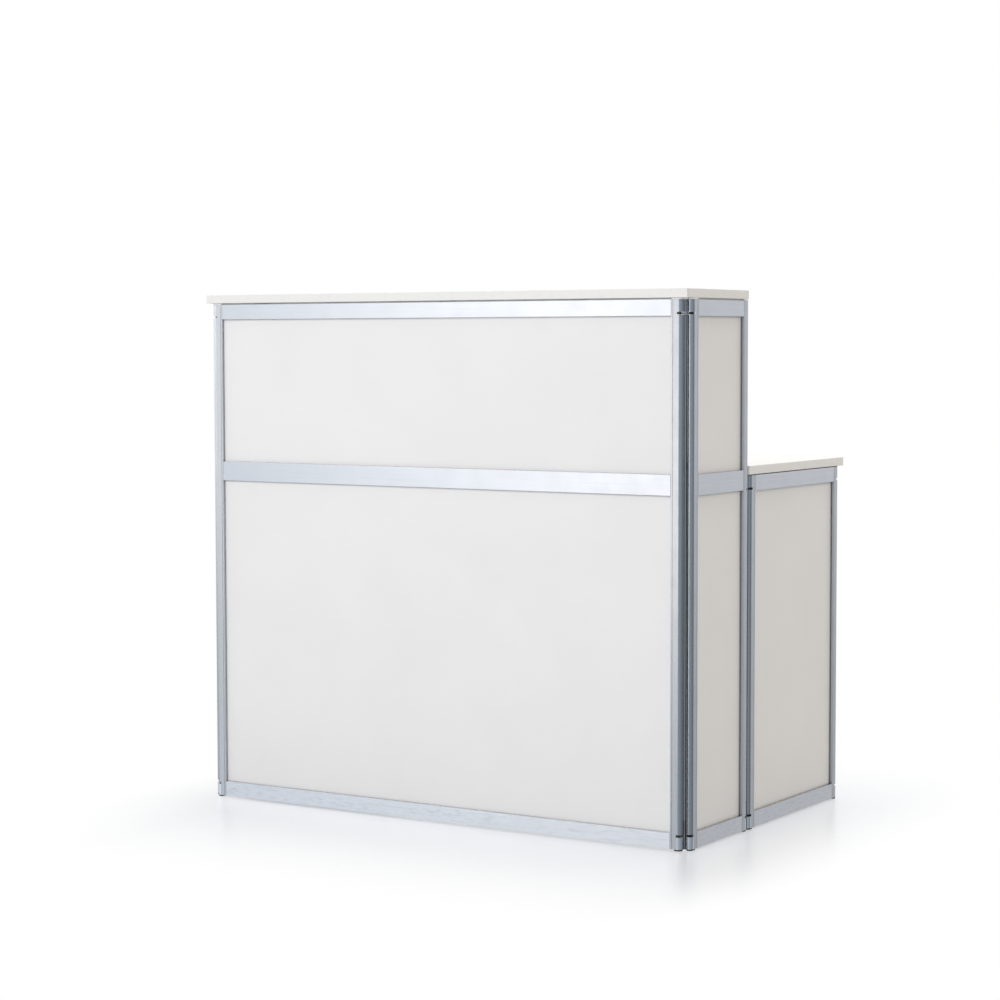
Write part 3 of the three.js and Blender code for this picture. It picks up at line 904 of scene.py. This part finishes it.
@dataclass
class FramedPanel:
    """One hinged frame: stiles, rails, panels, rods, feet, caps, the strip on its head and its screws."""

    name: str
    body: str
    origin: Pair
    turn: float
    span: float
    height: float
    grain: Grain
    ends: tuple[str, str]
    slots: tuple[Pair, Pair]
    rails: tuple[str, ...]
    panels: tuple[str, ...]
    rail_edge: float = 0.4 * MM
    panel_edge: float = 0.25 * MM
    small_edge: float = 0.3 * MM
    foot_height: float = 2.5 * MM
    foot_cut: float = 8.5 * MM
    foot_split: float = 0.7
    slot_height: float = 4.6 * MM
    slot_depth: float = 14 * MM
    slot_end: float = 3.6 * MM
    screw_inset: float = 30 * MM
    section: StileSection = field(default_factory=StileSection)

    def build(self, shelf: FinishShelf, extrusion: MilledExtrusion, screws: LockScrews) -> None:
        """Builds and dresses the whole frame."""
        self._stiles(shelf, extrusion)
        self._solids(shelf)
        self._screws(shelf, screws)

    def _turned(self, along: float, across: float, up: float) -> Vector:
        """Turns a direction on the frame into one in the desk."""
        return Matrix.Rotation(self.turn, 3, "Z") @ Vector((along, across, up))

    def _at(self, along: float, across: float, up: float) -> Vector:
        """Turns a place on the frame into a place in the desk."""
        return self._turned(along, across, up) + Vector((*self.origin, 0.0))

    def _stiles(self, shelf: FinishShelf, extrusion: MilledExtrusion) -> None:
        """Raises each stile from its section and mills the slots for the links."""
        finish = shelf.aluminium[Grain.Z]
        for index, end in enumerate(self.ends):
            node = f"{self.name}_{end}_stile"
            lower, upper = self.slots[index]
            mesh = extrusion.run(self.section.mesh(), {
                "Length": self.height, "Slot Height": self.slot_height, "Slot Depth": self.slot_depth,
                "Slot End": self.slot_end, "Lower Slot": lower, "Upper Slot": upper,
                "Turn": self.turn + index * math.pi,
                "Place": self._at(index * self.span, 0.0, self.foot_height), "Material": finish,
            })
            finish_piece(f"{node}_drawn", mesh, finish, "frame_aluminium", self.body, node)

    def _solids(self, shelf: FinishShelf) -> None:
        """Dresses the rails, panels, feet, rods, caps and strips that this frame has."""
        panel = (self.panel_edge, shelf.low_panel, "panel_white", "pressed")
        looks = {
            "rail": (self.rail_edge, shelf.aluminium[self.grain], "frame_aluminium", "drawn"),
            "panel": panel,
            "lower_panel": panel,
            "upper_panel": (self.panel_edge, shelf.high_panel, "panel_white", "pressed"),
            "hinge_rod": (self.small_edge, shelf.oxide, "hinge_steel", "finished"),
            "foot": (self.small_edge, shelf.rubber, "foot_rubber", "finished"),
            "cap": (self.small_edge, shelf.nylon, "cap_plastic", "finished"),
            "seat_strip": (self.small_edge, shelf.rubber, "foot_rubber", "finished"),
            "seal_strip": (self.small_edge, shelf.foam, "foot_rubber", "finished"),
        }
        parts = [(f"{rail}_rail", "rail") for rail in self.rails] + [(kind, kind) for kind in self.panels]
        parts += [(f"{end}_{kind}", kind) for end in self.ends for kind in ("hinge_rod", "foot", "cap")]
        parts += [(kind, kind) for kind in ("seat_strip", "seal_strip")]
        for part, kind in parts:
            node = f"{self.name}_{part}"
            if node in frame["nodes"]:
                edge, finish, slot, made = looks[kind]
                mesh = Shaper(edge).copy_of(node)
                if kind in ("hinge_rod", "foot"):
                    self._shorten_foot(mesh, far=part == f"{self.ends[1]}_{kind}")
                finish_piece(f"{node}_{made}", mesh, finish, slot, self.body, node)

    def _shorten_foot(self, mesh: Mesh, far: bool) -> None:
        """Draws a foot's long end in, so that it stands under the nose.

        Args:
            mesh: the foot's mesh, in place.
            far: whether it stands at the frame's far end.
        """
        axis = self._at(self.span if far else 0.0, 0.0, 0.0)
        inwards = self._turned(-1.0 if far else 1.0, 0.0, 0.0)
        split = self.section.flat * self.foot_split
        for vertex in mesh.vertices:
            if vertex.co.z < self.foot_height and (vertex.co - axis).dot(inwards) > split:
                vertex.co -= inwards * self.foot_cut

    def _screws(self, shelf: FinishShelf, screws: LockScrews) -> None:
        """Sets the screw that locks each rail's tenon on the frame's inner face."""
        places = []
        for rail in self.rails:
            low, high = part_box(f"{self.name}_{rail}_rail")
            for along in (self.screw_inset, self.span - self.screw_inset):
                places.append(self._at(along, self.section.half, (low.z + high.z) / 2))
        spots = bpy.data.meshes.new(f"{self.name}_screw_places")
        spots.from_pydata(places, [], [])
        mesh = screws.run(spots, {
            **screws.SIZES, "Facing": self._turned(0.0, 1.0, 0.0), "Material": shelf.zinc,
        })
        finish_piece(f"{self.name}_lock_screws", mesh, shelf.zinc, "hinge_steel", self.body)


@dataclass
class HingeLinks:
    """The aluminium links between neighbouring frames."""

    hinges: tuple[str, ...] = ("right_corner", "right_middle", "left_corner", "left_middle")
    edge: float = 0.12 * MM
    eye_reach: float = 7.6 * MM
    lined_reach: float = 10.4 * MM
    foot_plate: float = 29.5 * MM
    head_plate: float = 1055.5 * MM
    desk_plate: float = 701.5 * MM

    def build(self, shelf: FinishShelf) -> None:
        """Dresses each link."""
        shaper = Shaper(self.edge)
        for hinge in self.hinges:
            node = f"{hinge}_link"
            side, place = hinge.split("_")
            far_joint, upper = ("tall", self.head_plate) if place == "corner" else ("low", self.desk_plate)
            near, far = joint_place(f"{hinge}_swing"), joint_place(f"{side}_{far_joint}_swing")
            # Each link gets black painted shadow at its plates' ends in the noses' slots and darker painted
            # shade along its bar.
            finish = SatinAnodisedAluminium(
                Grain.Z, shade_painted=((*near, self.eye_reach), (*far, self.lined_reach)),
                plates=(self.foot_plate, upper),
            ).material()
            finish_piece(
                f"{node}_finished", shaper.copy_of(node), finish, "frame_aluminium", f"{hinge}_hinge", node,
            )


@dataclass
class Worktop:
    """A laminated board with an edging strip glued round it."""

    name: str
    body: str
    core_edge: float = 0.15 * MM
    strip_edge: float = 0.9 * MM
    glue_gap: float = 0.25 * MM
    seam_inset: float = 62 * MM

    def build(self, shelf: FinishShelf) -> None:
        """Dresses the core and its edging."""
        top, edging = f"{self.name}_top", f"{self.name}_edging"
        core = Shaper(self.core_edge).copy_of(top)
        low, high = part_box(top)
        centre, size = (low + high) / 2, high - low
        for vertex in core.vertices:
            vertex.co.x = centre.x + (vertex.co.x - centre.x) * (1 + 2 * self.glue_gap / size.x)
            vertex.co.y = centre.y + (vertex.co.y - centre.y) * (1 + 2 * self.glue_gap / size.y)
        finish_piece(f"{self.name}_laminated_core", core, shelf.worktop, "worktop_white", self.body, top)
        strip = Shaper(self.strip_edge, seam=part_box(edging)[1].y - self.seam_inset).copy_of(edging)
        finish_piece(f"{self.name}_glued_edging", strip, shelf.edging, "edging_white", self.body, edging)


# The room. A turn is in degrees about the desk, with 0 in front of it and the right side above 0. A rise is
# the upward part of a direction of length 1.


# What metal sees all round: turn, tone, and how cool the tone is.
RING_TONES = (
    (-180, 0.9, 0.0), (-120, 0.8, 0.0), (-75, 0.76, 0.0), (-50, 0.8, 0.2), (-38.4, 0.86, 0.2),
    (-36.2, 0.97, 0.1), (-33.9, 1.03, 0.0), (-28, 1.1, 0.0), (-26, 1.0, 0.0), (-23.5, 0.6, 0.3),
    (-18, 0.52, 0.5), (9, 0.47, 1.0), (45, 0.46, 1.0), (75, 0.38, 1.0), (105, 0.27, 0.5),
    (120, 0.22, 0.0), (132, 0.4, 0.0), (143, 0.8, 0.0), (152, 0.87, 0.0), (165, 0.92, 0.0), (180, 0.9, 0.0),
)
# The key softbox by turn, and by rise from its foot to its head.
BOX_TONES = (
    (-52, 0.0), (-38.8, 0.02), (-37.3, 0.26), (-36.2, 0.47), (-35, 0.66), (-33.9, 0.76), (-32.3, 0.84),
    (-30, 1.15), (-27.5, 1.55), (-26, 1.55), (-24.5, 0.0),
)
BOX_RISES = ((-0.17, 0.0), (-0.11, 0.8), (-0.06, 1.4), (-0.015, 0.8), (0.03, 0.78), (0.45, 0.7), (0.6, 0.0))
BOX_LOW, BOX_HIGH = -0.5, 0.7
# The lit floor far to the left, which only the lowest rail sees.
POOL_TONES = ((-56, 0.0), (-42, 0.52), (-38.4, 0.48), (-36.2, 0.27), (-34, 0.08), (-31, 0.02), (-28, 0.0))
# A lit wall at the far left, which brightens the left stile and the round noses.
WALL_TONES = ((-96, 0.0), (-84, 1.5), (-62, 1.5), (-54, 0.0))


def turn_stops(tones: tuple[Pair, ...], tint: Triple) -> list[tuple[float, Colour]]:
    """Lists the ramp stops of tones by turn.

    Args:
        tones: a turn in degrees and a tone for each stop.
        tint: the red, green and blue of a tone of 1.

    Returns:
        Each stop's place and linear colour.
    """
    red, green, blue = tint
    return [((turn + 180) / 360, (tone * red, tone * green, tone * blue, 1.0)) for turn, tone in tones]


@dataclass
class Studio:
    """A white studio: the floor, the world, the lamps and the camera."""

    camera_place: Triple = (2.863362, -4.633824, 0.997967)
    camera_yaw: float = 32.292
    camera_pitch: float = 3.608
    camera_roll: float = -0.108
    lens: float = 89.57
    sensor: float = 36.0
    aim: Triple = (0.0, 0.0, 0.55)
    floor_radius: float = 2.4
    floor_sides: int = 96
    floor_drop: float = 0.2 * MM
    floor_roughness: float = 0.28
    footprint: Pair = (0.59, 0.36)
    glossy_centre: Pair = (0.13, -0.15)
    glossy_half: Pair = (0.55, 0.3)
    mirror_reach: Pair = (0.24, 0.6)
    mirror_share: float = 0.36
    shadow_share: float = 0.12
    contact_share: float = 0.25
    contact_reach: Pair = (0.2, 0.5)
    room_level: float = 0.42
    metal_level: float = 2.0
    floorward_level: float = 0.78
    box_lean: float = 0.09
    cool_shift: float = 0.05

    def build(self) -> None:
        """Builds the room."""
        self._camera()
        self._floor()
        self._world()
        self._lamp("Key softbox", (-0.4, -4.4, 2.0), 2.4, 114.5, "FAFBFF")
        self._lamp("Side softbox", (4.6, 0.4, 2.9), 3.0, 58.0, "FFF5E8")
        self._lamp("Top softbox", (0.2, 1.3, 3.9), 3.0, 100.0, "FFFFFF")
        bpy.context.scene.view_settings.view_transform = "Standard"

    def _camera(self) -> None:
        """Puts the camera where the photograph was taken from."""
        data = bpy.data.cameras.new("Photograph view")
        data.sensor_width = self.sensor
        data.lens = self.lens
        yaw, pitch, roll = (math.radians(a) for a in (self.camera_yaw, self.camera_pitch, self.camera_roll))
        ahead = Vector((-math.sin(yaw) * math.cos(pitch), math.cos(yaw) * math.cos(pitch), -math.sin(pitch)))
        right = Vector((math.cos(yaw), math.sin(yaw), 0.0))
        up = right.cross(ahead)
        across = right * math.cos(roll) + up * math.sin(roll)
        over = up * math.cos(roll) - right * math.sin(roll)
        camera = bpy.data.objects.new("Photograph view", data)
        turned = Matrix((across, over, -ahead)).transposed().to_4x4()
        camera.matrix_world = Matrix.Translation(self.camera_place) @ turned
        bpy.context.scene.collection.objects.link(camera)
        bpy.context.scene.camera = camera

    def _floor(self) -> None:
        """Lays a round white floor. Near the desk it keeps a soft shadow, partly painted shade, and a fading
        mirror image.
        """
        body = bmesh.new()
        bmesh.ops.create_circle(body, cap_ends=True, segments=self.floor_sides, radius=self.floor_radius)
        mesh = bpy.data.meshes.new("studio_floor")
        body.to_mesh(mesh)
        body.free()
        floor = new_object("studio_floor", mesh)
        floor.location.z = -self.floor_drop
        floor.data.materials.append(self._floor_paint())

    @staticmethod
    def _near(wires: Surface, spot: Socket, half: Pair, reach: Pair, level: float) -> Socket:
        """Gives a level that holds inside a rectangle round the middle and fades away outside it.

        Args:
            wires: the material's wiring.
            spot: the place.
            half: half of the rectangle's width and depth.
            reach: how far outside the level comes to 0, along x and y.
            level: the level inside.

        Returns:
            The level at the place.
        """
        over = wires.vector("SUBTRACT", wires.vector("ABSOLUTE", spot), (*half, 0.0))
        outside = wires.vector("MAXIMUM", over, (0.0, 0.0, 0.0))
        shares = wires.vector("MULTIPLY", outside, (1 / reach[0], 1 / reach[1], 0.0))
        away = wires.measure("LENGTH", shares)
        return wires.remap(away, (0.0, 1.0), (level, 0.0), interpolation_type="SMOOTHSTEP")

    def _floor_paint(self) -> Material:
        """Builds the floor's material. The camera, metal and the room's light each see it their own way."""
        wires = Surface("Glossy white floor paint")
        path = wires.add("ShaderNodeLightPath").outputs
        # The white sweep is most worn and glossy in front of the desk, more to its right.
        centred = wires.vector("SUBTRACT", wires.place, (*self.glossy_centre, 0.0))
        near = self._near(wires, centred, self.glossy_half, self.mirror_reach, 1.0)
        # The painted shade reaches further in front of the desk than at its sides.
        close = self._near(wires, wires.place, self.footprint, self.contact_reach, self.contact_share)
        # Both masks mix in lamp-lit paint, which is dimmer than the glow even where no shadow falls: the
        # desk's real shadow with painted shade round it.
        shaded = wires.math("MULTIPLY_ADD", near, self.shadow_share, close)
        imaged = wires.math("MULTIPLY", near, self.mirror_share)
        glow = wires.shader("Emission", Color=linear("FFFFFF"), Strength=1.0)
        paint = wires.shader("BsdfDiffuse", Color=linear("F0F3F6"))
        mirror = wires.shader("BsdfGlossy", Color=linear("F9FBFF"), Roughness=self.floor_roughness)
        seen = wires.mixed_shader(imaged, wires.mixed_shader(shaded, glow, paint), mirror)
        # Beyond the white sweep the room's floor is greyer, so little light comes back up from it.
        bounce = wires.shader("BsdfDiffuse", Color=linear("C6C6C4"))
        lit = wires.mixed_shader(path["Is Camera Ray"], bounce, seen)
        # Polished metal sees the room's own tones where the floor lies, so the floor lets such rays through.
        clear = wires.shader("BsdfTransparent")
        return wires.finish(wires.mixed_shader(path["Is Glossy Ray"], lit, clear))

    def _world(self) -> None:
        """Lights the room softly, shows white behind the desk and a studio's tones in polished metal."""
        world = bpy.data.worlds.new("White studio")
        bpy.context.scene.world = world
        world.use_nodes = True
        world.node_tree.nodes.clear()
        wires = Wiring(world.node_tree)
        path = wires.add("ShaderNodeLightPath").outputs
        room = wires.shader("Background", Color=linear("FFFFFF"), Strength=self.room_level)
        metal_view = wires.shader("Background", Color=self._metal_view(wires), Strength=self.metal_level)
        behind = wires.shader("Background", Color=linear("FFFFFF"), Strength=1.0)
        lit = wires.mixed_shader(path["Is Glossy Ray"], room, metal_view)
        whole = wires.mixed_shader(path["Is Camera Ray"], lit, behind)
        wires.add("ShaderNodeOutputWorld", {"Surface": whole})
        world.cycles.sampling_method = "NONE"

    def _metal_view(self, wires: Wiring) -> Socket:
        """Gives the colour that metal sees in each direction, at half strength."""
        way = wires.add("ShaderNodeSeparateXYZ", {
            "Vector": wires.add("ShaderNodeTexCoord").outputs["Generated"],
        }).outputs
        turn = wires.math("ARCTAN2", way["X"], wires.math("MULTIPLY", way["Y"], -1.0))
        share, shift = wires.remap(turn, (-math.pi, math.pi)), self.cool_shift
        ring = wires.ramp(share, [
            ((turn + 180) / 360, (tone * (0.5 - shift * cool), tone * 0.5, tone * (0.5 + shift * cool), 1.0))
            for turn, tone, cool in RING_TONES
        ])
        # Metal sees the key softbox from a little under the horizon, to the left of the camera.
        # Its left edge leans, so that it starts further right below the horizon.
        lean = wires.math("MULTIPLY_ADD", way["Z"], self.box_lean, share)
        sideways = wires.ramp(lean, turn_stops(BOX_TONES, (0.7, 0.62, 0.56)))
        upwards = wires.ramp(
            wires.remap(way["Z"], (BOX_LOW, BOX_HIGH)),
            [((rise - BOX_LOW) / (BOX_HIGH - BOX_LOW), (tone, tone, tone, 1.0)) for rise, tone in BOX_RISES],
        )
        box = wires.vector("MULTIPLY", sideways, upwards)
        # Towards the floor the room grows darker.
        view = wires.scaled(ring, wires.remap(way["Z"], (-0.14, -0.02), (self.floorward_level, 1.0)))
        for tones, tint, rises, levels in (
            (POOL_TONES, (0.48, 0.5, 0.52), (-0.2, -0.1), (1.0, 0.0)),
            (WALL_TONES, (0.5, 0.5, 0.51), (-0.13, 0.0), (0.0, 1.0)),
        ):
            lit = wires.ramp(share, turn_stops(tones, tint))
            view = wires.vector("ADD", view, wires.scaled(lit, wires.remap(way["Z"], rises, levels)))
        return wires.vector("ADD", box, view)

    def _lamp(self, name: str, place: Triple, size: float, power: float, colour: str) -> None:
        """Hangs a square softbox that faces the desk.

        Args:
            name: the lamp's name.
            place: where it hangs.
            size: its side.
            power: its power in watts.
            colour: its light's colour as hex.
        """
        data = bpy.data.lights.new(name, "AREA")
        data.color = linear(colour)[:3]
        data.shape = "SQUARE"
        data.size = size
        data.energy = power
        lamp = bpy.data.objects.new(name, data)
        lamp.location = place
        lamp.rotation_euler = (Vector(self.aim) - Vector(place)).to_track_quat("-Z", "Y").to_euler()
        lamp.visible_glossy = False
        lamp.visible_camera = False
        bpy.context.scene.collection.objects.link(lamp)


def frames() -> list[FramedPanel]:
    """Lists the five frames of the desk.

    Returns:
        The front frame, then the tall and low frame of each side.
    """
    tall, low = 1080 * MM, 726 * MM
    front_span, tall_span, low_span = 1144 * MM, 229 * MM, 413 * MM
    at_head, at_desk = (27 * MM, 1053 * MM), (27 * MM, 699 * MM)
    tall_parts = {"rails": ("bottom", "mid", "top"), "panels": ("lower_panel", "upper_panel")}
    low_parts = {"rails": ("bottom", "top"), "panels": ("panel",)}
    made = [FramedPanel(
        "front", "front_frame", joint_place("left_corner_swing"), 0.0, front_span, tall, Grain.X,
        ("left", "right"), (at_head, at_head), **tall_parts,
    )]
    for side, sign in (("right", 1), ("left", -1)):
        ends, slots = ("front", "rear"), (at_head, at_desk)
        start_tall = joint_place(f"{side}_{'tall' if sign > 0 else 'middle'}_swing")
        start_low = joint_place(f"{side}_low_swing")
        if sign < 0:
            ends, slots = ("rear", "front"), (at_desk, at_head)
            start_low = (start_low[0], start_low[1] + low_span)
        made.append(FramedPanel(
            f"{side}_tall", f"{side}_tall_side", start_tall, sign * QUARTER, tall_span, tall, Grain.Y,
            ends, slots, **tall_parts,
        ))
        made.append(FramedPanel(
            f"{side}_low", f"{side}_low_side", start_low, sign * QUARTER, low_span, low, Grain.Y,
            ends, (at_desk, at_desk), **low_parts,
        ))
    return made


def main() -> None:
    """Builds the desk and its room in order."""
    logging.basicConfig(level=logging.INFO, format="%(name)s: %(message)s")
    Studio().build()
    shelf = FinishShelf()
    extrusion, screws = MilledExtrusion(), LockScrews()
    for panel in frames():
        panel.build(shelf, extrusion, screws)
    HingeLinks().build(shelf)
    Worktop("counter", "counter_board").build(shelf)
    Worktop("desk", "desk_board").build(shelf)


if __name__ == "__main__":
    main()
